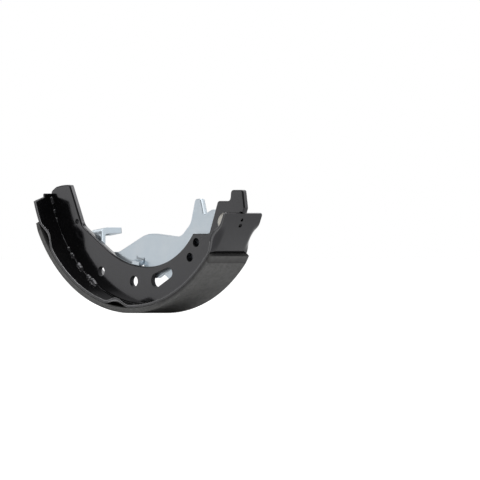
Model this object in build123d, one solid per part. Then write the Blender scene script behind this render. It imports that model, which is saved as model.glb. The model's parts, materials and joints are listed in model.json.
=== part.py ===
"""Drum brake shoe with its parking brake lever, in millimetres.

The shoe stands on its curved lining. The drum axis runs along Y, the web lies in the
plane Y = 0, Z = 0 is the floor that the lining touches and X = 0 is straight below the
drum axis. Angles are in degrees round the drum axis from straight down, positive
towards +X, and depths are measured inwards from the inner face of the table.
"""
from build123d import *
import os
from math import acos, cos, degrees, pi, radians, sin, sqrt

# Shoe: lining, table (the rolled rim) and web
lining_outer_radius = 114.0
lining_thickness = 4.0
lining_left_angle = -65.4
lining_right_angle = 50.9
lining_chamfer_length = 6.5
lining_chamfer_depth = 1.0
shoe_width = 39.0
table_thickness = 2.0
table_tongue_angle = -76.9
table_right_angle = 68.8
table_corner = 1.2
tongue_half_width = 8.3
tongue_step = 2.2
shoulder_rise = 3.2
web_thickness = 4.0

# Nibs pressed inwards along both edges of the table
nib_angles = (-58.5, -8.4, 57.5)
nib_half_span = 7.2
nib_depth = 4.8
nib_run = 6.2

# Web outline: corners as (depth, angle)
web_waist = 28.6
web_left_angle = -77.6
web_left_elbow = (21.9, -55.7)
web_left_tip = (21.6, -77.8)
web_left_crown = (14.2, -78.75)
web_left_corner = (6.1, -78.85)
web_seat = (34.5, 41.85)
web_seat_width = 17.6
web_strut_face = (26.1, 68.2)
web_strut_face_width = 13.3
web_tab_height = 8.2
web_tab_lean = 0.9
web_tab_width = 12.8
web_tab_overhang = 3.0
web_tab_bulge_angle = 2.2
web_end_gap = 0.4
web_outside_radius = 2.6
web_inside_radius = 3.0
web_small_radius = 2.0
web_seat_radius = 1.5
web_crown_radius = 4.0
web_elbow_radius = 12.0

# Holes in the web: (depth, angle) and radius
hold_down_hole = (16.5, -9.1)
hold_down_radius = 4.1
spring_hole = (11.1, -31.1)
spring_hole_radius = 3.5
upper_hole = (27.0, 40.8)
lower_hole = (22.2, 32.5)
paired_hole_radius = 3.25
small_hole = (18.9, -59.2)
small_hole_radius = 1.8
slot_wide_end = (17.9, 6.2)
slot_wide_radius = 5.2
slot_narrow_end = (20.9, 15.4)
slot_narrow_radius = 4.0
table_pit_angles = (63.6, 66.0)
table_pit_radii = (1.4, 1.1)

# Pivot pin, its spring washer and its clip
pivot = (10.0, 61.3)
pin_radius = 5.0
pin_head_radius = 7.8
pin_head_thickness = 2.6
pin_head_dome = 0.8
pin_end_stub = 2.2
pin_groove_depth = 1.1
pin_end_chamfer = 0.7
running_clearance = 0.05
side_clearance = 0.15
washer_outer_radius = 8.8
washer_thickness = 0.5
washer_rise = 0.7
washer_bore_clearance = 0.2
clip_outer_radius = 9.2
clip_thickness = 2.0
clip_mouth = 7.4
clip_mouth_angle = -40.0
clip_end_radius = 1.5

# Parking brake lever: corners as (depth, angle, rounding radius)
lever_thickness = 4.4
lever_head_radius = 9.0
lever_neck = (20.7, -38.5, 4.0)
lever_floor = (31.1, -27.2, 8.0)
lever_crest = (53.8, -3.7, 30.0)
lever_valley = (42.5, 28.8, 10.0)
lever_riser = (44.4, 42.1, 12.0)
lever_tip_left = (52.3, 58.7, 3.0)
lever_tip_right = (47.6, 61.7, 2.2)
lever_notch = (38.2, 54.3, 1.2)
lever_hump = (32.5, 60.9, 4.0)
lever_lobe_depth = 13.4
lever_lobe_left_angle = 14.4
lever_lobe_right_angle = 43.6
lever_lobe_blend = 20.0
lever_vee = (22.8, 8.6, 0.6)
lever_vee_shoulder = 3.0
lever_strip_depth = 20.0
lever_strip_right_angle = 3.9
lever_heel = (10.3, -43.7, 12.0)

# Cable hook at the free end of the lever
hook_root = (29.6, -43.8)
hook_width = 13.8
hook_tilt = 8.0
hook_bend_radius = 2.2
hook_reach = 24.4
hook_tip_corner = 1.5
cable_slot_width = 4.6
cable_slot_length = 8.0

# Stop lug lanced out of the lever, bent over the inner edge of the web and coined thinner at its tip
lug_angle = -8.9
lug_width = 7.8
lug_thickness = 3.2
lug_overlap = 0.7
lug_clearance = 0.25
lug_bend_radius = 3.2
lug_edge_radius = 0.5
lug_window = 9.5
lug_window_gap = 0.5

# Dependent sizes
drum_axis_height = lining_outer_radius
table_outer_radius = lining_outer_radius - lining_thickness
web_outer_radius = table_outer_radius - table_thickness
web_waist_radius = web_outer_radius - web_waist
web_back = web_thickness / 2
lever_front = web_back + side_clearance
lever_back = lever_front + lever_thickness
washer_front = lever_back + side_clearance
clip_front = washer_front + washer_thickness + washer_rise + running_clearance
clip_back = clip_front + clip_thickness
pin_end = clip_back + pin_end_stub
degree_length = web_outer_radius * pi / 180


def at_radius(radius, angle):
    """Point (x, z) at a radius and angle round the drum axis."""
    turn = radians(angle)
    return (radius * sin(turn), drum_axis_height - radius * cos(turn))


def at(depth, angle):
    """Point (x, z) at a depth inside the table's inner face."""
    return at_radius(web_outer_radius - depth, angle)


def shifted(point, dx, dz):
    return (point[0] + dx, point[1] + dz)


def ring_arc(radius, start_angle, end_angle):
    """Arc round the drum axis from one angle to another."""
    return CenterArc((0, drum_axis_height), radius, start_angle - 90, end_angle - start_angle)


def slab(outline, front, back):
    """Flat outline drawn in (x, z), made solid between two values of y."""
    return extrude(Plane.XZ.offset(-back) * outline, amount=back - front)


def disc(point, radius):
    return Pos(point[0], point[1]) * Circle(radius)


def rounded(outline, corners):
    """Rounds corners of a flat outline, each given as (point, radius)."""
    for point, radius in corners:
        place = Vector(point)
        nearest = min(outline.vertices(), key=lambda vertex: (Vector(vertex) - place).length)
        outline = fillet(nearest, radius)
    return outline


def ring_sector(inner_radius, outer_radius, start_angle, end_angle):
    """Flat curved strip round the drum axis."""
    outer = ring_arc(outer_radius, start_angle, end_angle)
    inner = ring_arc(inner_radius, start_angle, end_angle)
    return make_face([outer, inner, Line(outer @ 0, inner @ 0), Line(outer @ 1, inner @ 1)])


# ---------------------------------------------------------------- lining

def chamfered_end(end_angle, inward):
    """Wedge that thins one end of the lining on its outer face."""
    run = degrees(lining_chamfer_length / lining_outer_radius) * inward
    corners = [(-1, -run), (1, -run), (1, run), (0, run), (-1, 0)]
    return make_face(Polyline(
        *[at_radius(lining_outer_radius + lining_chamfer_depth * out, end_angle + turn) for out, turn in corners],
        close=True))


def build_lining():
    half = shoe_width / 2
    strip = ring_sector(table_outer_radius, lining_outer_radius, lining_left_angle, lining_right_angle)
    strip -= chamfered_end(lining_left_angle, 1)
    strip -= chamfered_end(lining_right_angle, -1)
    return slab(strip, -half, half)


# ---------------------------------------------------------------- table

def nib_curve(radius, centre, lift):
    """Raised cosine that dips inwards by lift * nib_depth over one nib."""
    steps = 8
    points = []
    for step in range(steps + 1):
        offset = nib_half_span * (2 * step / steps - 1)
        dip = lift * nib_depth * (1 + cos(pi * offset / nib_half_span)) / 2
        points.append(at_radius(radius - dip, centre + offset))
    ends = [(cos(radians(a)), sin(radians(a))) for a in (centre - nib_half_span, centre + nib_half_span)]
    return Spline(*points, tangents=ends)


def table_edge_line(radius, lift):
    """One face of the table seen along the drum axis: arcs joined by the nibs."""
    lines = []
    angle = table_tongue_angle
    for centre in nib_angles:
        lines.append(ring_arc(radius, angle, centre - nib_half_span))
        lines.append(nib_curve(radius, centre, lift))
        angle = centre + nib_half_span
    lines.append(ring_arc(radius, angle, table_right_angle))
    return lines


def table_section(y, lift):
    """Closed section of the table at one place across its width."""
    outer = table_edge_line(table_outer_radius, lift)
    inner = table_edge_line(web_outer_radius, lift)
    ends = [Line(outer[0] @ 0, inner[0] @ 0), Line(outer[-1] @ 1, inner[-1] @ 1)]
    return Plane.XZ.offset(-y) * make_face(outer + inner + ends)


def tongue_trim(side):
    """Prism that cuts one shoulder beside the tongue, drawn in (y, z)."""
    edge = side * shoe_width / 2
    root = side * tongue_half_width
    tongue_top = at_radius(table_outer_radius, table_tongue_angle)[1]
    inner_z = tongue_top - tongue_step
    slope = shoulder_rise / (shoe_width / 2 - tongue_half_width)
    far_z = inner_z - slope * (shoe_width - tongue_half_width)
    outline = make_face(Polyline(
        (root, inner_z), (2 * edge, far_z), (2 * edge, drum_axis_height), (root, drum_axis_height), close=True))
    prism = extrude(Plane.YZ * outline, amount=shoe_width)
    return Pos(-lining_outer_radius, 0, 0) * prism


def corner_trim(side):
    """Small wedge off one corner of the table's right end, drawn in (y, z)."""
    x, top = at_radius(web_outer_radius, table_right_angle)
    edge = side * shoe_width / 2
    cut = side * table_corner
    outline = make_face(Polyline(
        (edge - cut, top), (edge + cut, top), (edge + cut, top - 2 * table_corner), close=True))
    return Pos(x - shoe_width / 2, 0, 0) * extrude(Plane.YZ * outline, amount=shoe_width)


def build_table():
    half = shoe_width / 2
    lifts = [(half, 1.0), (half - 0.3 * nib_run, 0.49), (half - 0.6 * nib_run, 0.16), (half - nib_run, 0.0)]
    stations = [(-y, lift) for y, lift in lifts] + [(y, lift) for y, lift in reversed(lifts)]
    table = loft([table_section(y, lift) for y, lift in stations], ruled=True)
    for side in (-1, 1):
        table -= tongue_trim(side)
        table -= corner_trim(side)
    for angle, radius in zip(table_pit_angles, table_pit_radii):
        table -= radial_pit(angle, radius)
    return table


def radial_pit(angle, radius):
    """Round pit through the table on its centre line, backed by the web."""
    x, z = at_radius(web_outer_radius, angle)
    outward = (sin(radians(angle)), 0, -cos(radians(angle)))
    mouth = Plane(origin=(x, 0, z), z_dir=outward)
    return extrude(mouth * Circle(radius), amount=2 * table_thickness)


# ---------------------------------------------------------------- web

def web_outline():
    """Outline of the web: crescent, left abutment, strut seat and right tab."""
    elbow = at(*web_left_elbow)
    elbow_radius = web_outer_radius - web_left_elbow[0]
    touch_angle = web_left_elbow[1] + degrees(acos(web_waist_radius / elbow_radius))
    waist_start = at_radius(web_waist_radius, touch_angle)
    waist_bottom = at_radius(web_waist_radius, 0)
    left_tip = at(*web_left_tip)
    left_corner = at(*web_left_corner)
    seat = at(*web_seat)
    seat_end = shifted(seat, web_seat_width, 0)
    strut = at(*web_strut_face)
    strut_end = shifted(strut, web_strut_face_width, 0)
    tab_left = shifted(strut_end, web_tab_lean, web_tab_height)
    tab_right = shifted(tab_left, web_tab_width, 0)
    end_angle = table_right_angle + web_end_gap / degree_length
    overhang = at(-web_tab_overhang, end_angle)
    bulge = at(-web_tab_overhang, end_angle + web_tab_bulge_angle)
    rim = ring_arc(web_outer_radius, end_angle, web_left_angle)
    lines = [
        rim,
        Line(rim @ 1, left_corner),
        ThreePointArc(left_corner, at(*web_left_crown), left_tip),
        Line(left_tip, elbow),
        Line(elbow, waist_start),
        ring_arc(web_waist_radius, touch_angle, 0),
        TangentArc(waist_bottom, seat, tangent=(1, 0)),
        Polyline(seat, seat_end, strut, strut_end, tab_left, tab_right, bulge, overhang, rim @ 0),
    ]
    corners = [
        (rim @ 1, web_inside_radius), (left_corner, web_crown_radius), (left_tip, web_small_radius),
        (elbow, web_elbow_radius), (seat, web_seat_radius), (seat_end, web_inside_radius),
        (strut, web_outside_radius), (strut_end, web_inside_radius), (tab_left, web_outside_radius),
        (tab_right, web_small_radius), (bulge, web_small_radius),
    ]
    return rounded(make_face(lines), corners)


def strut_slot():
    """Tapered slot: a wide round end drawn to a narrow one."""
    wide = disc(at(*slot_wide_end), slot_wide_radius)
    narrow = disc(at(*slot_narrow_end), slot_narrow_radius)
    return make_hull(wide.edges() + narrow.edges())


def build_web():
    holes = [
        (hold_down_hole, hold_down_radius), (spring_hole, spring_hole_radius),
        (upper_hole, paired_hole_radius), (lower_hole, paired_hole_radius),
        (small_hole, small_hole_radius), (pivot, pin_radius + running_clearance),
    ]
    outline = web_outline() - strut_slot()
    for place, radius in holes:
        outline -= disc(at(*place), radius)
    return slab(outline, -web_back, web_back)


# ---------------------------------------------------------------- lever

def hook_root_left():
    """Left end of the line where the hook is bent, lower than its right end."""
    tilt = radians(hook_tilt)
    return shifted(at(*hook_root), -hook_width * cos(tilt), -hook_width * sin(tilt))


def lever_outline():
    """Flat blank of the lever with its head, before the hook and the lug are bent."""
    centre = at(*pivot)
    strip_radius = web_outer_radius - lever_strip_depth
    lobe_radius = web_outer_radius - lever_lobe_depth
    lobe = ring_arc(lobe_radius, lever_lobe_right_angle, lever_lobe_left_angle)
    heel = at(*lever_heel[:2])
    touch_angle = lever_heel[1] + degrees(acos(strip_radius / (web_outer_radius - lever_heel[0])))
    strip = ring_arc(strip_radius, lever_strip_right_angle, touch_angle)
    head_top = disc_tangent(centre, lever_head_radius, at(*lever_hump[:2]), 1)
    lobe_start = at_radius(lobe_radius, lever_lobe_right_angle)
    head_side = disc_tangent(centre, lever_head_radius, lobe_start, -1)
    vee = at(*lever_vee[:2])
    upper = [lever_neck, lever_floor, lever_crest, lever_valley, lever_riser,
             lever_tip_left, lever_tip_right, lever_notch, lever_hump]
    upper_points = [at(*corner[:2]) for corner in upper]
    lines = [
        Polyline(at(*hook_root), *upper_points, head_top, centre, head_side, lobe_start),
        lobe,
        Polyline(lobe @ 1, vee, strip @ 0),
        strip,
        Polyline(strip @ 1, heel, hook_root_left(), at(*hook_root)),
    ]
    corners = [(point, corner[2]) for point, corner in zip(upper_points, upper)]
    corners += [(lobe_start, lever_lobe_blend), (lobe @ 1, lever_vee_shoulder), (strip @ 0, lever_vee_shoulder),
                (vee, lever_vee[2]), (heel, lever_heel[2])]
    blank = rounded(make_face(lines), corners)
    return blank + disc(centre, lever_head_radius)


def disc_tangent(centre, radius, point, side):
    """Where a line from a point touches a disc, on the side given as +1 or -1."""
    dx = point[0] - centre[0]
    dz = point[1] - centre[1]
    reach = sqrt(dx ** 2 + dz ** 2)
    along = radius ** 2 / reach ** 2
    across = -side * radius * sqrt(reach ** 2 - radius ** 2) / reach ** 2
    return shifted(centre, dx * along - dz * across, dz * along + dx * across)


def hook_section():
    """Hook seen along its bend line, from the bend's start at (lever_front, 0)."""
    outer_bend = hook_bend_radius + lever_thickness
    bend_end = lever_front + outer_bend
    under = outer_bend - lever_thickness
    near = 1 - sqrt(0.5)
    return make_face([
        Line((lever_back, 0), (lever_front, 0)),
        ThreePointArc((lever_front, 0), (lever_front + outer_bend * near, outer_bend * (1 - near)),
                      (bend_end, outer_bend)),
        Polyline((bend_end, outer_bend), (hook_reach, outer_bend), (hook_reach, under), (bend_end, under)),
        ThreePointArc((bend_end, under), (lever_back + under * near, under * (1 - near)), (lever_back, 0)),
    ])


def cable_hook():
    """Flange bent back from the lever's free end, with a slot for the cable in its left side."""
    outer_bend = hook_bend_radius + lever_thickness
    length = hook_reach - lever_front
    tip = [(0, hook_reach), (-hook_width, hook_reach)]
    plan = Pos(-hook_width / 2, lever_front + length / 2) * Rectangle(hook_width, length)
    plan = rounded(plan, [(corner, hook_tip_corner) for corner in tip])
    plan -= cable_slot((lever_front + outer_bend + hook_reach) / 2)
    bent = extrude(Plane.YZ * hook_section(), amount=-hook_width) & extrude(plan, amount=outer_bend)
    x, z = at(*hook_root)
    return Pos(x, 0, z) * Rot(0, -hook_tilt, 0) * bent


def cable_slot(middle):
    """Slot along X in plan, open at the hook's left side and round at its inner end."""
    end = cable_slot_length - cable_slot_width / 2 - hook_width
    mouth = -2 * hook_width
    straight = Pos((mouth + end) / 2, middle) * Rectangle(end - mouth, cable_slot_width)
    return straight + Pos(end, middle) * Circle(cable_slot_width / 2)


def lug_plane():
    """Plane across the lever at the lug: x along Y, y inwards, z along the web's edge."""
    x, z = at_radius(web_waist_radius, lug_angle)
    inward = (-sin(radians(lug_angle)), 0, cos(radians(lug_angle)))
    along = Vector(0, 1, 0).cross(Vector(*inward))
    return Plane(origin=(x, 0, z), x_dir=(0, 1, 0), z_dir=along)


def lug_bend_top():
    """Height over the web's edge where the bend of the lug leaves the lever."""
    return lug_clearance + lug_thickness + lug_bend_radius


def stop_lug():
    """Tab bent forward over the web's inner edge: a round inside corner and a rounder outside one."""
    tip = -web_back - lug_overlap
    top = lug_clearance + lug_thickness
    start = lever_front - lug_bend_radius
    near = 1 - sqrt(0.5)
    section = make_face([
        Polyline((start, lug_clearance), (tip, lug_clearance), (tip, top), (start, top)),
        ThreePointArc((start, top),
                      (lever_front - lug_bend_radius * near, top + lug_bend_radius * near),
                      (lever_front, lug_bend_top())),
        Line((lever_front, lug_bend_top()), (lever_back, lug_bend_top())),
        ThreePointArc((lever_back, lug_bend_top()),
                      (lever_back - (lever_back - start) * near,
                       lug_clearance + (lug_bend_top() - lug_clearance) * near),
                      (start, lug_clearance)),
    ])
    section = rounded(section, [((tip, lug_clearance), lug_edge_radius), ((tip, top), lug_edge_radius)])
    return extrude(lug_plane() * section, amount=lug_width / 2, both=True)


def lug_cutout():
    """Window left in the lever where the tab was lanced out, from the top of its bend down."""
    middle = lug_bend_top() - lug_window / 2
    section = Pos((lever_front + lever_back) / 2, middle) * Rectangle(2 * lever_thickness, lug_window)
    return extrude(lug_plane() * section, amount=lug_width / 2 + lug_window_gap, both=True)


def build_lever():
    outline = lever_outline() - disc(at(*pivot), pin_radius + running_clearance)
    return slab(outline, lever_front, lever_back) - lug_cutout() + stop_lug() + cable_hook()


# ---------------------------------------------------------------- pivot pin and its fastenings

def pivot_plane():
    """Plane at the pivot with its normal along +Y."""
    x, z = at(*pivot)
    return Plane(origin=(x, 0, z), x_dir=(1, 0, 0), z_dir=(0, 1, 0))


def build_pivot_pin():
    """Turned pin: domed head before the web, shank, clip groove and chamfered end."""
    neck = pin_radius - pin_groove_depth
    head_back = -web_back
    head_front = head_back - pin_head_thickness
    profile = make_face(Polyline(
        (0, head_front), (pin_head_radius - 2 * pin_head_dome, head_front),
        (pin_head_radius, head_front + pin_head_dome), (pin_head_radius, head_back),
        (pin_radius, head_back), (pin_radius, clip_front), (neck, clip_front), (neck, clip_back),
        (pin_radius, clip_back), (pin_radius, pin_end - pin_end_chamfer),
        (pin_radius - pin_end_chamfer, pin_end), (0, pin_end),
        close=True))
    turned = revolve(Plane.XZ * profile, Axis.Z)
    return pivot_plane().location * turned


def build_spring_washer():
    """Ring cut from sheet bent to a shallow arch, its crown against the clip."""
    bend = washer_outer_radius ** 2 / (2 * washer_rise)
    crown = clip_front - running_clearance
    ring = Circle(washer_outer_radius) - Circle(pin_radius + washer_bore_clearance)
    blank = extrude(pivot_plane() * ring, amount=clip_front)
    x, z = at(*pivot)
    length = 4 * washer_outer_radius
    arch = Cylinder(bend + washer_thickness, length) - Cylinder(bend, length)
    return blank & (Pos(x, crown - bend - washer_thickness, z) * arch)


def build_retaining_clip():
    """Horseshoe clip pushed into the pin's groove."""
    neck = pin_radius - pin_groove_depth + running_clearance
    mouth = Pos(clip_outer_radius, 0) * Rectangle(2 * clip_outer_radius, clip_mouth)
    horseshoe = Circle(clip_outer_radius) - Circle(neck) - mouth
    ends = [v for v in horseshoe.vertices() if Vector(v.X, v.Y, 0).length > (clip_outer_radius + neck) / 2]
    horseshoe = Rot(0, 0, clip_mouth_angle) * fillet(ends, clip_end_radius)
    return extrude(pivot_plane().offset(clip_front) * horseshoe, amount=clip_thickness)


# ---------------------------------------------------------------- output

def main():
    nodes = {
        "lining": build_lining(),
        "table": build_table(),
        "web": build_web(),
        "parking_lever": build_lever(),
        "pivot_pin": build_pivot_pin(),
        "spring_washer": build_spring_washer(),
        "retaining_clip": build_retaining_clip(),
    }
    os.makedirs("parts", exist_ok=True)
    for name, shape in nodes.items():
        export_step(shape, f"parts/{name}.step")


main()
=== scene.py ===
"""Drum brake shoe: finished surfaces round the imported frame.

The frame's axes are used throughout: the drum axis runs along Y at the height of the
lining's outer radius, X = 0 is straight below it and the floor is Z = 0. Lengths are in
metres. Angles are measured round the drum axis from straight down, positive towards +X.
"""

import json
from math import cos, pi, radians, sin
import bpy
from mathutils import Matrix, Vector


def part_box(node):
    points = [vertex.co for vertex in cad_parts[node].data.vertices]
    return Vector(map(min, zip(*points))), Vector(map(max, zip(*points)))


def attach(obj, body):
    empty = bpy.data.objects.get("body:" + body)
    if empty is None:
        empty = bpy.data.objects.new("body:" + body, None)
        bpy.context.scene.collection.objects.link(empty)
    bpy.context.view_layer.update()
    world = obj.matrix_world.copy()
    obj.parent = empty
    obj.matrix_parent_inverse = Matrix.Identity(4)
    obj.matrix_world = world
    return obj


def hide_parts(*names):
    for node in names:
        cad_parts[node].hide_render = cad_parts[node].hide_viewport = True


bl_info = {
    "name": "Drum Brake Shoe",
    "version": (1, 0, 0),
    "blender": (4, 5, 0),
    "location": "View3D > Sidebar > Brake Shoe",
    "description": "Builds the finished surfaces, materials and studio of a drum brake shoe",
    "category": "Add Mesh",
}

import bmesh
import bpy
import numpy as np
from bpy.props import FloatProperty, FloatVectorProperty, IntProperty, PointerProperty
from mathutils import Vector

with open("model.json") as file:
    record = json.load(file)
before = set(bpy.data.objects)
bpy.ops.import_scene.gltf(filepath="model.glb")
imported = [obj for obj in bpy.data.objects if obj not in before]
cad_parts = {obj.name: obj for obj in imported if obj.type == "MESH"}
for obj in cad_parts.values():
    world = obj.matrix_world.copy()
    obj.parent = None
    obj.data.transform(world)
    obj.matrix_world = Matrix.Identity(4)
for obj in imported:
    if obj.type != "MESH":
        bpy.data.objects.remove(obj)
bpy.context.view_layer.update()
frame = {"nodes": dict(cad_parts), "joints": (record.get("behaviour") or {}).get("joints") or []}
PIVOT = Vector(frame["joints"][0]["pos_m"])
MM = 0.001


# ---------------------------------------------------------------- what a user can change

def length(name, description, default):
    return FloatProperty(name=name, description=description, default=default, unit="LENGTH",
                         precision=5)


def angle(name, description, degrees_default):
    return FloatProperty(name=name, description=description, default=radians(degrees_default),
                         subtype="ANGLE")


def share(name, description, default):
    return FloatProperty(name=name, description=description, default=default, min=0, max=1,
                         subtype="FACTOR")


def colour(name, description, default):
    return FloatVectorProperty(name=name, description=description, default=default, size=3,
                               min=0, max=1, subtype="COLOR")


class ShoeSizes(bpy.types.PropertyGroup):
    """Sizes of the rim, the lining and the small forms on them."""
    drum_radius: length("Drum radius", "Outer radius of the lining", 114.0 * MM)
    half_width: length("Half width", "Half the width of the rim and the lining",
                       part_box("table")[1].y)
    lining_thickness: length("Lining thickness", "From the rim to the friction face", 4.0 * MM)
    lining_left: angle("Lining left end", "Angle of the lining's left end", -65.4)
    lining_right: angle("Lining right end", "Angle of the lining's right end", 50.9)
    chamfer_length: length("Chamfer length", "Length of the lining's end chamfers", 6.5 * MM)
    chamfer_depth: length("Chamfer depth", "Depth of the lining's end chamfers", 1.0 * MM)
    lining_edge: length("Lining edge", "Worn radius on the lining's edges", 0.22 * MM)
    rim_thickness: length("Rim thickness", "Thickness of the rolled rim", 2.0 * MM)
    rim_edge: length("Rim edge", "Radius on the rim's sheared edges", 0.5 * MM)
    rim_left: angle("Rim left end", "Angle of the rim's tongue", -76.9)
    rim_right: angle("Rim right end", "Angle of the rim's right end", 68.8)
    rim_corner: length("Rim corner", "Corner cut off the rim's right end", 1.2 * MM)
    tongue_half_width: length("Tongue half width", "Half the width of the tongue", 8.3 * MM)
    tongue_step: length("Tongue step", "Height of the tongue over its shoulders", 2.2 * MM)
    shoulder_drop: length("Shoulder drop", "How far each shoulder falls to the rim's edge",
                          3.2 * MM)
    nib_half_span: angle("Nib half span", "Half the angle that a nib covers", 7.2)
    nib_depth: length("Nib depth", "How far a nib is pressed inwards", 4.8 * MM)
    nib_run: length("Nib run", "How far a nib reaches in from the rim's edge", 6.2 * MM)
    web_thickness: length("Web thickness", "Thickness of the web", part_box("web")[1].y * 2)
    bead: length("Weld bead", "Least radius of the bead between web and rim", 0.20 * MM)


class PlateEdges(bpy.types.PropertyGroup):
    """Radii on the edges of the pressed plates."""
    web_outline: length("Web die roll", "Rolled outline of the web's front face", 1.1 * MM)
    web_small: length("Web edge", "Edges of the web's holes and its back", 0.25 * MM)
    lever_outline: length("Lever die roll", "Rolled outline of the lever's front face", 0.5 * MM)
    lever_small: length("Lever edge", "Other edges of the lever", 0.3 * MM)
    small: length("Small edge", "Edges of the pin, the washer and the clip", 0.2 * MM)
    segments: IntProperty(name="Segments", description="Steps round each rolled edge",
                          default=4, min=1, max=8)


class Finishes(bpy.types.PropertyGroup):
    """Colours and gloss of the finishes."""
    paint: colour("Paint", "Black dip paint", (0.0012, 0.0012, 0.0013))
    paint_dust: colour("Paint dust", "Dusty film on the paint", (0.0065, 0.0064, 0.0066))
    # Painted highlight: grey laid on the rim's sheared corners in place of the highlights along
    # its edges.
    paint_edge_highlight: colour("Painted edge highlight", "Grey painted highlight on the rim's corners",
                       (0.400, 0.400, 0.405))
    paint_roughness: share("Paint roughness", "Roughness of the paint", 0.15)
    lining: colour("Lining", "Friction material", (0.215, 0.215, 0.211))
    lining_shade: colour("Lining shade", "Darker clouds in the lining", (0.150, 0.150, 0.149))
    # Dark bond line, and painted shade on the lining's end faces and on its sides next to the rim.
    lining_bond_and_shade: colour("Lining bond and shade", "Dark bond line, and painted shade on the ends and sides",
                        (0.010, 0.010, 0.010))
    lining_dark: colour("Lining dark", "Dark grains in the lining", (0.050, 0.049, 0.048))
    lining_light: colour("Lining light", "Light grains in the lining", (0.360, 0.355, 0.340))
    lining_metal: colour("Lining metal", "Brass-coloured chips in the lining",
                         (0.300, 0.210, 0.110))
    zinc: colour("Zinc", "Bluish zinc plate", (0.715, 0.805, 0.880))
    zinc_cloud: colour("Zinc cloud", "Paler clouds in the zinc", (0.795, 0.870, 0.930))
    pin: colour("Pin", "Cream zinc plate on the pin", (0.760, 0.740, 0.660))
    spring: colour("Spring", "Plated spring steel", (0.560, 0.565, 0.570))


class StudioLook(bpy.types.PropertyGroup):
    """Camera and light."""
    azimuth: angle("Azimuth", "Camera's turn from the -Y side towards +X", 46.37)
    distance: length("Distance", "From the camera to the point it looks at", 15.92)
    focal: FloatProperty(name="Focal length", description="Lens in millimetres", default=1600.0)
    target: FloatVectorProperty(name="Target", description="Point on the camera's axis",
                                default=(0.0468, 0.0491, 0.0545), size=3, unit="LENGTH")
    ambient: FloatProperty(name="Ambient", description="Strength of the plain surrounding light",
                           default=0.18)
    floor_lift: FloatProperty(name="Floor lift", description="Light added to the floor as seen",
                              default=0.60)
    floor_mirrored: FloatProperty(name="Floor mirrored",
                                  description="Light added to the floor in reflections",
                                  default=0.08)


# ---------------------------------------------------------------- surfaces

MERGE_DISTANCE = 1e-6
LEAST_EDGE = 1e-7


def curved_mesh(name, points):
    """A tube of quads over an array of points: row along the piece, place in section, xyz."""
    rows, columns = points.shape[:2]
    corner = np.arange(rows * columns).reshape(rows, columns)
    near, far = corner[:-1], corner[1:]
    quads = np.stack([near, np.roll(near, -1, 1), np.roll(far, -1, 1), far], -1).reshape(-1, 4)
    mesh = bpy.data.meshes.new(name)
    mesh.from_pydata(points.reshape(-1, 3).tolist(), [], quads.tolist())
    return mesh


def finished(name, mesh, crease=40.0):
    """Merges seams, turns the faces outwards and shades smooth, but for edges over crease."""
    work = bmesh.new()
    work.from_mesh(mesh)
    bmesh.ops.remove_doubles(work, verts=work.verts, dist=MERGE_DISTANCE)
    bmesh.ops.dissolve_degenerate(work, edges=work.edges, dist=LEAST_EDGE)
    bmesh.ops.recalc_face_normals(work, faces=work.faces)
    for face in work.faces:
        face.smooth = True
    for edge in work.edges:
        edge.smooth = edge.calc_face_angle(0) < radians(crease)
    work.to_mesh(mesh)
    work.free()
    piece = bpy.data.objects.new(name, mesh)
    bpy.context.scene.collection.objects.link(piece)
    return piece


def settled(piece, body, slot, material, *nodes):
    """Puts a piece on its body, with its material, in place of its CAD nodes. Its slot is not
    used.
    """
    piece.data.materials.clear()
    piece.data.materials.append(material)
    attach(piece, body)
    if nodes:
        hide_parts(*nodes)


def on_drum(radius, turn, y):
    """Points at a radius and an angle round the drum axis, as an array of xyz."""
    z = bpy.context.scene.shoe_sizes.drum_radius - radius * np.cos(turn)
    return np.stack(np.broadcast_arrays(radius * np.sin(turn), y, z), -1)


def smooth_step(x):
    """0 below 0, 1 above 1, and 3x^2 - 2x^3 between."""
    x = np.clip(x, 0, 1)
    return x * x * (3 - 2 * x)


def rounded_section(half_width, half_height, edge, stations, steps=5):
    """Rounded rectangle as (across, through) pairs: flats sampled at stations, corners as arcs.

    A corner's points are its centre plus the edge radius times (cos, sin) of a quarter turn.
    """
    arc = np.linspace(0, pi / 2, steps + 2)[1:-1]
    flat = stations[np.abs(stations) <= half_width - edge]
    inner_width = half_width - edge
    inner_height = half_height - edge
    corner = np.stack([inner_width + edge * np.sin(arc), inner_height + edge * np.cos(arc)], -1)
    top = np.stack([flat, np.full(flat.shape, half_height)], -1)
    right = np.concatenate([corner, corner[::-1] * (1, -1)])
    return np.concatenate([top, right, top[::-1] * (1, -1), right * (-1, -1)])


def end_rows(edge, half_height, steps=4):
    """Rounding at a closed end: distance from the end and shrink of the section, row by row.

    The first row is shrunk to nothing, which closes the end. After it the shrink is the edge
    radius times 1 - sin, and the distance the edge radius times 1 - cos, of a quarter turn.
    """
    turn = np.linspace(0, pi / 2, steps + 1)
    inset = edge * (1 - np.sin(turn))
    distance = edge * (1 - np.cos(turn))
    return np.concatenate([[0.0], distance]), np.concatenate([[half_height], inset])


# ---------------------------------------------------------------- shader sockets

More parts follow.
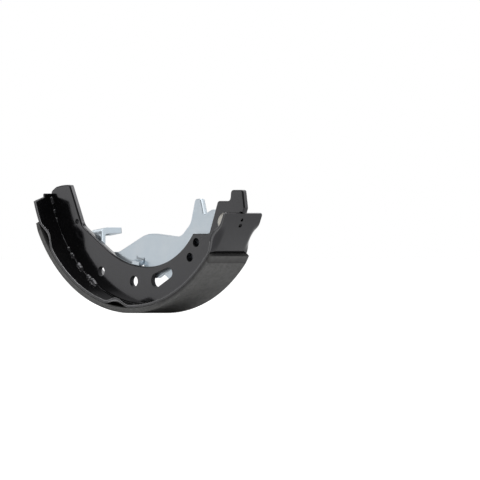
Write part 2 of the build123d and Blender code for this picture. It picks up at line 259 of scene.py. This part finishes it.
class Value:
    """A shader socket whose arithmetic adds Math nodes."""

    def __init__(self, shader, socket):
        self.shader = shader
        self.socket = socket

    def __add__(self, other):
        return self.shader.maths("ADD", self, other)

    def __radd__(self, other):
        return self.shader.maths("ADD", other, self)

    def __sub__(self, other):
        return self.shader.maths("SUBTRACT", self, other)

    def __rsub__(self, other):
        return self.shader.maths("SUBTRACT", other, self)

    def __mul__(self, other):
        return self.shader.maths("MULTIPLY", self, other)

    def __rmul__(self, other):
        return self.shader.maths("MULTIPLY", other, self)

    def __truediv__(self, other):
        return self.shader.maths("DIVIDE", self, other)

    def __rtruediv__(self, other):
        return self.shader.maths("DIVIDE", other, self)

    def __pow__(self, other):
        return self.shader.maths("POWER", self, other)

    def __abs__(self):
        return self.shader.maths("ABSOLUTE", self)

    def limited(self):
        return self.shader.maths("ADD", self, 0.0, clamp=True)

    def above(self, low, high):
        """0 at low, 1 at high and clamped, whichever of the two is greater."""
        return ((self - low) / (high - low)).limited()


class Shader:
    """A material under construction: every node comes from node()."""

    def __init__(self, name):
        self.material = bpy.data.materials.new(name)
        self.material.use_nodes = True
        self.tree = self.material.node_tree
        self.tree.nodes.clear()
        self.place = self.node("ShaderNodeTexCoord", output="Object")

    def node(self, kind, settings=None, inputs=None, output=0):
        """Adds a node: its settings first, then a value or a link for each given socket."""
        node = self.tree.nodes.new(kind)
        for key, setting in (settings or {}).items():
            setattr(node, key, setting)
        for key, given in (inputs or {}).items():
            if isinstance(given, Value):
                self.tree.links.new(given.socket, node.inputs[key])
            else:
                node.inputs[key].default_value = given
        return Value(self, node.outputs[output] if node.outputs else None)

    def maths(self, operation, first, second=None, clamp=False):
        given = {i: value for i, value in enumerate((first, second)) if value is not None}
        return self.node("ShaderNodeMath", {"operation": operation, "use_clamp": clamp}, given)

    def noise(self, scale, detail=3.0, roughness=0.55, place=None):
        """Noise whose grains are about 1 / scale metres across."""
        return self.node("ShaderNodeTexNoise", {"noise_dimensions": "3D"},
                         {"Vector": place or self.place, "Scale": scale, "Detail": detail,
                          "Roughness": roughness})

    def stretched(self, x, y, z):
        """Object coordinates times a factor along each axis."""
        return self.node("ShaderNodeVectorMath", {"operation": "MULTIPLY"},
                         {0: self.place, 1: (x, y, z)})

    def mix(self, factor, first, second):
        """Colour mix: first where factor is 0, second where it is 1."""
        tones = [tone if isinstance(tone, Value) else (*tone, 1) for tone in (first, second)]
        return self.node("ShaderNodeMix", {"data_type": "RGBA"},
                         {0: factor, 6: tones[0], 7: tones[1]}, 2)

    def bump(self, height, distance):
        return self.node("ShaderNodeBump", None,
                         {"Height": height, "Distance": distance, "Strength": 1.0})

    def split(self, vector):
        """The x, y and z of a vector."""
        first = self.node("ShaderNodeSeparateXYZ", None, {0: vector})
        return [Value(self, socket) for socket in first.socket.node.outputs]

    def drum_place(self):
        """Distance from the drum axis and angle round it, worked out from the place."""
        x, _, z = self.split(self.place)
        down = bpy.context.scene.shoe_sizes.drum_radius - z
        radius = (x * x + down * down) ** 0.5
        return radius, self.maths("ARCTAN2", x, down)

    def finish(self, **inputs):
        """Joins the given sockets to a Principled shader and returns the material."""
        named = {key.replace("_", " "): given for key, given in inputs.items()}
        surface = self.node("ShaderNodeBsdfPrincipled", None, named)
        self.node("ShaderNodeOutputMaterial", None, {"Surface": surface})
        return self.material


# ---------------------------------------------------------------- finishes

def black_paint(name, dulled):
    """Thin glossy dip paint: a slight orange peel, dust pimples and a dusty film in patches.

    It carries a painted highlight, grey over the sheared corners at both sides of the rim and
    most at its left, and is dull inside pierced holes.
    """
    look = bpy.context.scene.finishes
    sizes = bpy.context.scene.shoe_sizes
    shader = Shader(name)
    x, y, _ = shader.split(shader.place)
    _, facing, _ = shader.split(shader.node("ShaderNodeTexCoord", output="Normal"))
    # Painted highlight: grey over the corners near both edges of the rim, less towards the right,
    # in place of the edge highlights.
    highlight_reach, full_width = 1.1 * MM, 0.6 * MM
    near_edge = abs(y).above(sizes.half_width - highlight_reach, sizes.half_width - full_width)
    off_face, on_side = abs(facing).above(0.10, 0.35), abs(facing).above(0.90, 0.99)
    fading = x.above(-20.0 * MM, 30.0 * MM)
    painted_edge_highlight = near_edge * (off_face * (1 - on_side * 0.85)) * (1 - fading * 0.6)
    pierced = shader.node("ShaderNodeAttribute", {"attribute_name": "pierced"}, output="Fac")
    patches = shader.noise(38.0, 4.0)
    peel = shader.noise(420.0, 2.0)
    pimples = shader.noise(1500.0, 1.0).above(0.68, 0.76)
    film = patches.above(0.42, 0.75) * 0.35 + pimples * 0.3
    tone = shader.mix(film, look.paint, look.paint_dust)
    height = peel * 0.5 + pimples * 0.25
    return shader.finish(
        Base_Color=shader.mix(painted_edge_highlight * (0.5 + patches), tone, look.paint_edge_highlight),
        Roughness=look.paint_roughness + dulled + patches * 0.08 + pierced * 0.4,
        Normal=shader.bump(height, 0.012 * MM),
        Coat_Weight=1.0 - pierced * 0.85,
        Coat_Roughness=0.09 + dulled,
        Coat_IOR=1.46,
        IOR=1.45,
        Specular_Tint=(0.90, 0.89, 1.0, 1.0),
    )


def friction_lining():
    """Ground friction material: grey, with fine dark and light grains and lines round the drum.

    The chamfers are ground smoother. The bond line is dark with adhesive. The end faces are
    painted near black as shade, and painted shade darkens the sides next to the rim over the
    lining's right part.
    """
    look = bpy.context.scene.finishes
    sizes = bpy.context.scene.shoe_sizes
    shader = Shader("friction_lining")
    radius, turn = shader.drum_place()
    _, y, _ = shader.split(shader.place)
    to_nearer_end = shader.maths("MINIMUM", turn - sizes.lining_left, sizes.lining_right - turn)
    from_end = to_nearer_end * sizes.drum_radius
    chamfer = 1 - from_end.above(sizes.chamfer_length - 0.2 * MM, sizes.chamfer_length + 0.1 * MM)
    depth = sizes.drum_radius - radius
    bond = depth.above(sizes.lining_thickness - 0.6 * MM, sizes.lining_thickness - 0.15 * MM)
    # Painted shade: the sides darken next to the rim over the lining's right part, and the end
    # faces are painted near black as shade. The bond line is dark adhesive.
    painted_side_shade = depth.above(0.9 * MM, 3.2 * MM) * turn.above(0.10, 0.35) * 0.85
    painted_end_shade = 1 - from_end.above(0.25 * MM, 0.6 * MM)
    bond_and_painted_shade = shader.maths("MAXIMUM", painted_end_shade, shader.maths("MAXIMUM", bond, painted_side_shade))
    across = shader.node("ShaderNodeCombineXYZ", None, {0: turn * 14.0, 1: y * 2600.0})
    lines = shader.noise(1.0, 2.0, 0.5, across)
    grain = shader.noise(2200.0, 4.0, 0.7)
    cloud = shader.noise(260.0, 5.0, 0.7)
    plain = 1 - chamfer * 0.7
    dark = shader.noise(1700.0, 2.0).above(0.56, 0.68) * plain
    light = shader.noise(2100.0, 2.0, 0.5, shader.stretched(1.0, 0.8, 1.0))
    light = light.above(0.60, 0.70) * plain
    chips = shader.noise(1300.0, 1.0).above(0.76, 0.78)
    tone = shader.mix(cloud.above(0.3, 0.7), look.lining_shade, look.lining)
    tone = shader.mix(dark * 0.6, tone, look.lining_dark)
    tone = shader.mix(light * 0.5, tone, look.lining_light)
    tone = shader.mix(chips * 0.7, tone, look.lining_metal)
    ground = chamfer * (0.2 + from_end.above(0.0, sizes.chamfer_length) * 0.5)
    tone = shader.mix(ground, tone, look.lining_dark)
    tone = shader.mix(bond_and_painted_shade * 0.8, tone, look.lining_bond_and_shade)
    height = grain * 0.6 + lines * 0.25 - dark * 0.5
    return shader.finish(
        Base_Color=tone,
        Roughness=0.86 - chips * 0.3 - chamfer * 0.12,
        Metallic=chips * 0.6,
        Normal=shader.bump(height, 0.06 * MM),
    )


def plated(name, base, cloud, roughness):
    """Plated steel: pale clouds and fine grain.

    The sheared edges have a burnished band at the front, and a duller, torn fracture behind it.
    """
    shader = Shader(name)
    normal = shader.node("ShaderNodeTexCoord", output="Normal")
    _, facing, _ = shader.split(normal)
    side = (1 - abs(facing)).above(0.55, 0.9)
    _, y, _ = shader.split(shader.place)
    clouds = shader.noise(45.0, 5.0, 0.6)
    grain = shader.noise(900.0, 3.0)
    tears = shader.noise(700.0, 3.0, 0.6, shader.stretched(1.0, 0.18, 1.0))
    band_end, torn, wavering = 4.2 * MM, 5.0 * MM, 1.2 * MM
    fracture = side * (y + clouds * wavering).above(band_end, torn)
    tone = shader.mix(clouds.above(0.35, 0.7), base, cloud)
    tone = shader.mix(fracture * 0.30, tone, tuple(0.62 * part for part in base))
    return shader.finish(
        Base_Color=tone,
        Metallic=1.0,
        Roughness=roughness + clouds * 0.10 + fracture * 0.16,
        Normal=shader.bump(grain * 0.25 + tears * side * 1.6, 0.02 * MM),
    )


RING_RATE = 16000.0  # radians of the turning marks for each metre of radius


def turned_plate():
    """Cream zinc on the turned pin: faint rings round its axis."""
    look = bpy.context.scene.finishes
    shader = Shader("pin_zinc")
    x, _, z = shader.split(shader.place)
    dx = x - PIVOT.x
    dz = z - PIVOT.z
    radius = (dx * dx + dz * dz) ** 0.5
    rings = shader.maths("SINE", radius * RING_RATE)
    grain = shader.noise(800.0, 3.0)
    shade = tuple(0.85 * part for part in look.pin)
    return shader.finish(
        Base_Color=shader.mix(grain.above(0.35, 0.75), look.pin, shade),
        Metallic=1.0,
        Roughness=0.34 + grain * 0.12,
        Normal=shader.bump(rings * 0.2 + grain * 0.5, 0.01 * MM),
    )


# ---------------------------------------------------------------- pieces

NIB_ANGLES = np.radians([-58.5, -8.4, 57.5])

# Pits near the rim's right end: angle and radius of each, and their depth and wall
PITS = ((63.6, 1.4 * MM), (66.0, 1.1 * MM))
PIT_DEPTH = 1.5 * MM
PIT_WALL = 0.3 * MM

# Where the rim's section is repeated: first angle, last angle and step, closer at the pits
RIM_RUNS = ((-76.0, 62.0, 0.33), (62.0, 67.6, 0.12), (67.7, 68.3, 0.25))

# Angles where the left end's outline has faded out and where the right end's corners begin
LEFT_FADED = radians(-66.0)
CORNER_START = radians(67.0)
TONGUE_WALL = 0.7 * MM

# Lining: radians between its sections and before its last ones, and how deep it is seated
LINING_STEP = 0.006
LINING_GAP = 0.005
LINING_SEATING = 0.01 * MM

# Weld runs: first angle, last angle and leg in millimetres
WELD_RUNS = (
    (-75.6, -72.2, 1.7), (-70.2, -68.5, 1.0), (-66.7, -64.7, 1.0), (-59.5, -52.9, 0.6),
    (-53.3, -51.0, 1.5), (-50.5, -47.0, 1.6), (-44.9, -40.0, 2.2), (-37.6, -29.8, 2.2),
    (-3.0, 4.0, 1.8), (13.0, 20.0, 1.7), (30.0, 37.0, 1.8), (46.0, 53.0, 1.7), (61.0, 65.0, 1.5),
)

# Weld bead: its end angles, its rows and sides, the radians over which it tapers, the power of
# its section, and how far the runs at the back are shifted in radians
BEAD_ENDS = (-76.3, 66.5)
BEAD_ROWS = 1500
BEAD_SIDES = 20
BEAD_TAPER = 0.02
BEAD_POWER = 1.25
BACK_SHIFT = 0.012

# Waves on the bead: height as a share of its leg, rate along it and times round it
BEAD_WAVES = ((0.06, 97.0, -1), (0.03, 263.0, 2))


def rim_stations(sizes):
    """Where the rim's section is sampled across: close at the edges, the tongue and the pits."""
    half = sizes.half_width
    tongue = sizes.tongue_half_width
    pit_zone = 2.0 * MM
    edge = np.linspace(half - sizes.nib_run, half, 15)
    step = np.linspace(tongue - TONGUE_WALL / 2, tongue + TONGUE_WALL / 2, 7)
    pit = np.linspace(0, pit_zone, 9)
    middle = np.linspace(pit_zone, half - sizes.nib_run, 10)
    right = np.unique(np.round(np.concatenate([pit, middle, step, edge]), 6))
    return np.concatenate([-right[:0:-1], right])


def rim_start(sizes, radius, y):
    """Angle where the rim begins at each place across it: a tongue, then two sloping shoulders.

    On a shoulder the angle is -acos((axis height - shoulder height) / radius).
    """
    height = sizes.drum_radius
    top = height - (sizes.drum_radius - sizes.lining_thickness) * cos(sizes.rim_left)
    beyond = np.abs(y) - sizes.tongue_half_width
    out = np.clip(beyond / (sizes.half_width - sizes.tongue_half_width), 0, 1)
    shoulder_top = top - sizes.tongue_step - sizes.shoulder_drop * out
    shoulder = -np.arccos((height - shoulder_top) / radius)
    step = smooth_step(beyond / TONGUE_WALL + 0.5)
    return sizes.rim_left + (shoulder - sizes.rim_left) * step


def rim_dip(sizes, turn, y):
    """Inward dip of the rim at its nibs.

    For each nib it is a raised cosine along the rim, times the square of how far the place is
    into the nib's run.
    """
    depth = np.zeros(np.broadcast(turn, y).shape)
    reach = np.clip(1 - (sizes.half_width - np.abs(y)) / sizes.nib_run, 0, 1) ** 2
    for centre in NIB_ANGLES:
        offset = np.clip((turn - centre) / sizes.nib_half_span, -1, 1)
        depth = depth + sizes.nib_depth * reach * (1 + np.cos(pi * offset)) / 2
    return depth


def pit_dip(sizes, turn, y):
    """Depth of the small round pits: 1 inside each, falling to 0 over a short wall."""
    radius = sizes.drum_radius - sizes.lining_thickness
    depth = np.zeros(np.broadcast(turn, y).shape)
    for centre, size in PITS:
        away = np.hypot((turn - radians(centre)) * radius, y)
        depth = np.maximum(depth, 1 - smooth_step((away - size) / PIT_WALL + 0.5))
    return depth


def rim_surface(sizes):
    """Rounded section carried round the drum axis, from the rim's shaped left end to its right.

    The left end's outline fades out by LEFT_FADED, and the cut corners of the right end grow
    from CORNER_START. The nibs and the pits are taken off the radius.
    """
    half_height = sizes.rim_thickness / 2
    middle = sizes.drum_radius - sizes.lining_thickness - half_height
    section = rounded_section(sizes.half_width, half_height, sizes.rim_edge, rim_stations(sizes))
    across, through = section[:, 0], section[:, 1]
    distance, shrink = end_rows(sizes.rim_edge, half_height)
    plain = np.radians(np.concatenate([np.arange(*run) for run in RIM_RUNS]))
    start = distance / middle + sizes.rim_left
    stop = (sizes.rim_right - distance / middle)[::-1]
    station = np.concatenate([start, plain, stop])[:, None]
    less = np.concatenate([shrink, np.zeros(len(plain)), shrink[::-1]])[:, None]
    y = across * (1 - np.minimum(less, sizes.rim_edge) / sizes.half_width)
    through = through * (1 - less / half_height)
    corner = np.clip(np.abs(y) - (sizes.half_width - sizes.rim_corner), 0, None) / middle
    left = rim_start(sizes, middle + through, y)
    share_left = np.clip((station - sizes.rim_left) / (LEFT_FADED - sizes.rim_left), 0, 1)
    share_right = np.clip((station - CORNER_START) / (sizes.rim_right - CORNER_START), 0, 1)
    turn = station + (left - sizes.rim_left) * (1 - share_left) - corner * share_right
    outside = smooth_step(through / half_height)
    sunk = pit_dip(sizes, turn, y) * outside * PIT_DEPTH
    radius = middle + through - rim_dip(sizes, turn, y) - sunk
    return on_drum(radius, turn, y)


class SHOE_OT_rim(bpy.types.Operator):
    """Builds the rolled rim with its tongue, pressed nibs and pits"""
    bl_idname = "shoe.rim"
    bl_label = "Rim"

    def execute(self, context):
        mesh = curved_mesh("rim", rim_surface(context.scene.shoe_sizes))
        settled(finished("rim", mesh), "shoe", "black_paint",
                bpy.data.materials["black_dip_paint"], "table")
        return {"FINISHED"}


def lining_surface(sizes):
    """Rounded section carried round the drum axis.

    Its outer side falls along a wedge at each end, by the chamfer's depth times how near the
    end is. It is seated a few thousandths of a millimetre inside the solid's box.
    """
    thick = sizes.lining_thickness
    stations = np.linspace(-sizes.half_width, sizes.half_width, 40)
    section = rounded_section(sizes.half_width, thick / 2, sizes.lining_edge, stations)
    across, through = section[:, 0], section[:, 1]
    middle = sizes.drum_radius - thick / 2
    distance, shrink = end_rows(sizes.lining_edge, thick / 2)
    start = distance / middle + sizes.lining_left
    plain = np.arange(sizes.lining_left + LINING_STEP, sizes.lining_right - LINING_GAP,
                      LINING_STEP)
    stop = (sizes.lining_right - distance / middle)[::-1]
    turn = np.concatenate([start, plain, stop])[:, None]
    less = np.concatenate([shrink, np.zeros(len(plain)), shrink[::-1]])[:, None]
    y = across * (1 - np.minimum(less, sizes.lining_edge) / sizes.half_width)
    through = through * (1 - less / (thick / 2))
    from_end = np.minimum(turn - sizes.lining_left, sizes.lining_right - turn) * sizes.drum_radius
    wedge = sizes.chamfer_depth * np.clip(1 - from_end / sizes.chamfer_length, 0, 1)
    seated = LINING_SEATING * (0.2 - through / thick)
    radius = middle + through - wedge * (through / thick + 0.5) + seated
    return on_drum(radius, turn, y)


class SHOE_OT_lining(bpy.types.Operator):
    """Builds the bonded friction lining with its end chamfers"""
    bl_idname = "shoe.lining"
    bl_label = "Lining"

    def execute(self, context):
        mesh = curved_mesh("friction_lining", lining_surface(context.scene.shoe_sizes))
        settled(finished("friction_lining", mesh), "shoe", "friction",
                bpy.data.materials["friction_lining"], "lining")
        return {"FINISHED"}


def bead_surface(sizes, side):
    """Tube along the corner between web and rim.

    Its leg is a least size, or a blunt hump over each weld run, height * sqrt(1 - |offset|^3).
    It is made uneven by a fine ripple on the runs, sin(760 turn + 2 cos around), by waves that
    go along and round it, and by a slow beat, sin(171 turn) * sin(61 turn). Its section is
    |cos|^p + |sin|^p = leg^p, with p low enough to give a nearly flat fillet.
    """
    first, last = BEAD_ENDS
    turn = np.linspace(radians(first), radians(last), BEAD_ROWS)[:, None]
    around = np.linspace(0, 2 * pi, BEAD_SIDES, endpoint=False)[None, :]
    leg = np.full(turn.shape, sizes.bead)
    for start, stop, height in WELD_RUNS:
        middle = radians(start + stop) / 2 + (BACK_SHIFT if side > 0 else 0)
        offset = np.clip((turn - middle) / (radians(stop - start) / 2), -1, 1)
        leg = np.maximum(leg, height * MM * np.sqrt(1 - np.abs(offset) ** 3))
    ripple = 0.008 * np.sin(turn * 760.0 + 2 * np.cos(around)) * smooth_step(leg / MM - 0.5)
    waves = sum(height * np.sin(turn * rate + times * around)
                for height, rate, times in BEAD_WAVES)
    beat = 0.07 * np.sin(turn * 171.0 + 1.3) * np.sin(turn * 61.0)
    uneven = 1 + ripple + waves + beat
    taper = smooth_step((turn - turn[0]) / BEAD_TAPER)
    taper = taper * smooth_step((turn[-1] - turn) / BEAD_TAPER)
    powers = np.abs(np.cos(around)) ** BEAD_POWER + np.abs(np.sin(around)) ** BEAD_POWER
    size = leg * uneven * taper * powers ** (-1 / BEAD_POWER)
    inner = sizes.drum_radius - sizes.lining_thickness - sizes.rim_thickness
    y = side * sizes.web_thickness / 2 + size * np.cos(around)
    return on_drum(inner + size * np.sin(around), turn, y)


class SHOE_OT_weld_beads(bpy.types.Operator):
    """Builds the painted weld beads along both sides of the web"""
    bl_idname = "shoe.weld_beads"
    bl_label = "Weld Beads"

    def execute(self, context):
        for side, name in ((-1, "weld_bead_front"), (1, "weld_bead_back")):
            mesh = curved_mesh(name, bead_surface(context.scene.shoe_sizes, side))
            settled(finished(name, mesh, crease=80.0), "shoe", "black_paint",
                    bpy.data.materials["paint_on_weld"])
        return {"FINISHED"}


def loops_of(edges):
    """Groups edges that share vertices."""
    groups = []
    waiting = set(edges)
    while waiting:
        group, frontier = set(), [waiting.pop()]
        while frontier:
            edge = frontier.pop()
            group.add(edge)
            touching = {other for vertex in edge.verts for other in vertex.link_edges} & waiting
            waiting -= touching
            frontier += touching
        groups.append(group)
    return groups


FLAT = 0.9999  # least |y| of the normal on a plate's flat faces
PLATE_MERGE = 2e-6
SHARP_EDGE = radians(32.0)
FACET_ANGLE = radians(1.0)
RING_MARGIN = 1.05


def eased_plate(name, node, outline, small, segments, ringed=False):
    """A merged copy of a CAD plate, with the front's outline rolled more than its other edges.

    The walls of its holes are marked as pierced. Where it is ringed, a ring is inset round each
    flat, so that the rolls run along clean faces.
    """
    mesh = frame["nodes"][node].data.copy()
    mesh.name = name
    if "custom_normal" in mesh.attributes:
        mesh.attributes.remove(mesh.attributes["custom_normal"])
    work = bmesh.new()
    work.from_mesh(mesh)
    bmesh.ops.remove_doubles(work, verts=work.verts, dist=PLATE_MERGE)
    flats = [face for face in work.faces if abs(face.normal.y) > FLAT]
    walls = [edge for edge in work.edges if not set(edge.link_faces) & set(flats)]
    bmesh.ops.dissolve_limit(work, angle_limit=FACET_ANGLE, edges=walls)
    if ringed:
        bmesh.ops.inset_region(work, faces=flats, thickness=outline * RING_MARGIN,
                               use_even_offset=True, use_boundary=True)
    weight = work.edges.layers.float.new("bevel_weight_edge")
    pierced = work.faces.layers.float.new("pierced")
    middle = sum(corner.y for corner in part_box(node)) / 2
    sharp = [edge for edge in work.edges if edge.calc_face_angle(0) > SHARP_EDGE]
    front = [edge for edge in sharp if all(vertex.co.y < middle for vertex in edge.verts)]
    groups = loops_of(front)
    rim = max(groups, key=lambda group: sum(edge.calc_length() for edge in group))
    for edge in sharp:
        edge[weight] = 1.0 if edge in rim else small / outline
    mouths = {edge for group in groups for edge in group} - rim
    for face in work.faces:
        face.smooth = abs(face.normal.y) < FLAT
        face[pierced] = float(face.smooth and not mouths.isdisjoint(face.edges))
    work.to_mesh(mesh)
    work.free()
    piece = bpy.data.objects.new(name, mesh)
    bpy.context.scene.collection.objects.link(piece)
    bevel = piece.modifiers.new("rolled_edges", "BEVEL")
    bevel.limit_method = "WEIGHT"
    bevel.width = outline
    bevel.segments = segments
    bevel.harden_normals = True
    bevel.loop_slide = False
    bevel.use_clamp_overlap = False
    bevel.miter_outer = "MITER_ARC"
    return piece


class SHOE_OT_web(bpy.types.Operator):
    """Builds the pressed web with its rolled edges"""
    bl_idname = "shoe.web"
    bl_label = "Web"

    def execute(self, context):
        edges = context.scene.plate_edges
        piece = eased_plate("web_plate", "web", edges.web_outline, edges.web_small, edges.segments)
        settled(piece, "shoe", "black_paint", bpy.data.materials["black_dip_paint"], "web")
        return {"FINISHED"}


class SHOE_OT_lever(bpy.types.Operator):
    """Builds the parking brake lever with its rolled edges"""
    bl_idname = "shoe.lever"
    bl_label = "Lever"

    def execute(self, context):
        edges = context.scene.plate_edges
        piece = eased_plate("brake_lever", "parking_lever", edges.lever_outline, edges.lever_small,
                            edges.segments, ringed=True)
        settled(piece, "lever", "zinc", bpy.data.materials["lever_zinc"], "parking_lever")
        return {"FINISHED"}


class SHOE_OT_fastenings(bpy.types.Operator):
    """Dresses the pivot pin, the spring washer and the clip"""
    bl_idname = "shoe.fastenings"
    bl_label = "Fastenings"

    def execute(self, context):
        small = context.scene.plate_edges.small
        for name, node, slot, material in (
                ("headed_pin", "pivot_pin", "pin_zinc", "pin_zinc"),
                ("arched_washer", "spring_washer", "spring_steel", "spring_steel"),
                ("horseshoe_clip", "retaining_clip", "spring_steel", "spring_steel")):
            piece = eased_plate(name, node, small, small, 2)
            settled(piece, "shoe", slot, bpy.data.materials[material], node)
        return {"FINISHED"}


class SHOE_OT_finishes(bpy.types.Operator):
    """Makes the materials"""
    bl_idname = "shoe.finishes"
    bl_label = "Finishes"

    def execute(self, context):
        look = context.scene.finishes
        black_paint("black_dip_paint", 0.0)
        black_paint("paint_on_weld", 0.16)
        friction_lining()
        plated("lever_zinc", look.zinc, look.zinc_cloud, 0.26)
        plated("spring_steel", look.spring, tuple(1.1 * part for part in look.spring), 0.30)
        turned_plate()
        return {"FINISHED"}


# ---------------------------------------------------------------- studio

FLOOR_REACH = 30.0
FLOOR_TONE = (0.80, 0.80, 0.80, 1)
VIEW_REACH = 100.0
SENSOR_WIDTH = 36.0

# Lamps: name, place from the camera's target, width, height and radiance
LAMPS = (
    ("front_left", (-2.964, -1.047, 0.2), 3.1, 1.3, 0.90),
    ("left_above", (-2.3, 0.6, 2.1), 1.8, 1.8, 1.0),
    ("back_left", (-1.15, 2.2, 2.0), 2.0, 2.0, 1.4),
    ("front_left_above", (-1.80, -2.14, 1.30), 1.4, 0.8, 0.5),
    ("back_right", (2.25, 2.55, 1.1), 2.4, 2.8, 1.0),
    ("back_above", (1.2, 1.6, 2.2), 1.4, 1.2, 1.6),
    ("front_above", (0.1, -0.85, 2.45), 1.4, 1.0, 5.0),
)


def soft_box(name, place, target, width, height, radiance):
    """A rectangular lamp facing a target. Power is pi times radiance times area."""
    lamp = bpy.data.lights.new(name, "AREA")
    lamp.shape = "RECTANGLE"
    lamp.size = width
    lamp.size_y = height
    lamp.energy = pi * radiance * width * height
    piece = bpy.data.objects.new(name, lamp)
    piece.location = place
    piece.rotation_mode = "QUATERNION"
    piece.rotation_quaternion = (Vector(target) - Vector(place)).to_track_quat("-Z", "Y")
    piece.visible_camera = False
    bpy.context.scene.collection.objects.link(piece)


def white_world(studio):
    """Plain surrounding light that shows as white to the camera."""
    world = bpy.data.worlds.new("studio")
    world.use_nodes = True
    tree = world.node_tree
    tree.nodes.clear()
    rays = tree.nodes.new("ShaderNodeLightPath")
    strength = tree.nodes.new("ShaderNodeMix")
    strength.inputs[2].default_value = studio.ambient
    strength.inputs[3].default_value = 1.0
    background = tree.nodes.new("ShaderNodeBackground")
    background.inputs["Color"].default_value = (1, 1, 1, 1)
    output = tree.nodes.new("ShaderNodeOutputWorld")
    tree.links.new(rays.outputs["Is Camera Ray"], strength.inputs[0])
    tree.links.new(strength.outputs[0], background.inputs["Strength"])
    tree.links.new(background.outputs[0], output.inputs["Surface"])
    bpy.context.scene.world = world


def floor_finish(studio):
    """Pale matt floor, lifted to white for the camera and a little in reflections.

    The lift is less near the shoe, where the lamps light the floor and it shows the shadow.
    """
    shader = Shader("floor")
    seen = shader.node("ShaderNodeLightPath")
    mirrored = Value(shader, seen.socket.node.outputs["Is Glossy Ray"])
    away = shader.node("ShaderNodeVectorMath", {"operation": "LENGTH"}, {0: shader.place}, "Value")
    lit_zone, white_zone = 0.35, 1.5
    lift = studio.floor_lift + away.above(lit_zone, white_zone) * (1 - studio.floor_lift)
    strength = lift * seen + mirrored * studio.floor_mirrored
    diffuse = shader.node("ShaderNodeBsdfDiffuse", None, {"Color": FLOOR_TONE})
    glow = shader.node("ShaderNodeEmission", None, {"Strength": strength})
    both = shader.node("ShaderNodeAddShader", None, {0: diffuse, 1: glow})
    shader.node("ShaderNodeOutputMaterial", None, {"Surface": both})
    return shader.material


class SHOE_OT_stage(bpy.types.Operator):
    """Builds the floor, the lamps, the surrounding light and the camera"""
    bl_idname = "shoe.stage"
    bl_label = "Stage"

    def execute(self, context):
        studio = context.scene.studio_look
        mesh = bpy.data.meshes.new("floor")
        signs = ((-1, -1), (1, -1), (1, 1), (-1, 1))
        corners = [(x * FLOOR_REACH, y * FLOOR_REACH, 0) for x, y in signs]
        mesh.from_pydata(corners, [], [(0, 1, 2, 3)])
        floor = bpy.data.objects.new("floor", mesh)
        mesh.materials.append(floor_finish(studio))
        context.scene.collection.objects.link(floor)
        white_world(studio)
        target = Vector(studio.target)
        for name, place, width, height, radiance in LAMPS:
            soft_box(name, target + Vector(place), target, width, height, radiance)
        camera = bpy.data.cameras.new("camera")
        camera.lens = studio.focal
        camera.sensor_width = SENSOR_WIDTH
        camera.clip_end = VIEW_REACH
        eye = bpy.data.objects.new("camera", camera)
        away = Vector((sin(studio.azimuth), -cos(studio.azimuth), 0))
        eye.location = target + away * studio.distance
        eye.rotation_mode = "QUATERNION"
        eye.rotation_quaternion = (-away).to_track_quat("-Z", "Y")
        context.scene.collection.objects.link(eye)
        context.scene.camera = eye
        context.scene.view_settings.view_transform = "Standard"
        return {"FINISHED"}


class SHOE_PT_panel(bpy.types.Panel):
    """Lists the operators and the values in the 3D view's sidebar"""
    bl_idname = "SHOE_PT_panel"
    bl_label = "Brake Shoe"
    bl_space_type = "VIEW_3D"
    bl_region_type = "UI"
    bl_category = "Brake Shoe"

    def draw(self, context):
        for operator in OPERATORS:
            self.layout.operator(operator.bl_idname)
        for name in GROUPS:
            group = getattr(context.scene, name)
            box = self.layout.box()
            for key in group.bl_rna.properties.keys():
                if key not in {"rna_type", "name"}:
                    box.prop(group, key)


GROUPS = {"shoe_sizes": ShoeSizes, "plate_edges": PlateEdges, "finishes": Finishes,
          "studio_look": StudioLook}
OPERATORS = (SHOE_OT_finishes, SHOE_OT_rim, SHOE_OT_lining, SHOE_OT_weld_beads, SHOE_OT_web,
             SHOE_OT_lever, SHOE_OT_fastenings, SHOE_OT_stage)


def register():
    for group in GROUPS.values():
        bpy.utils.register_class(group)
    for name, group in GROUPS.items():
        setattr(bpy.types.Scene, name, PointerProperty(type=group))
    for operator in OPERATORS:
        bpy.utils.register_class(operator)
    bpy.utils.register_class(SHOE_PT_panel)


def unregister():
    bpy.utils.unregister_class(SHOE_PT_panel)
    for operator in reversed(OPERATORS):
        bpy.utils.unregister_class(operator)
    for name in reversed(list(GROUPS)):
        delattr(bpy.types.Scene, name)
        bpy.utils.unregister_class(GROUPS[name])


def main():
    register()
    for operator in OPERATORS:
        family, name = operator.bl_idname.split(".")
        getattr(getattr(bpy.ops, family), name)()


if __name__ == "__main__":
    main()
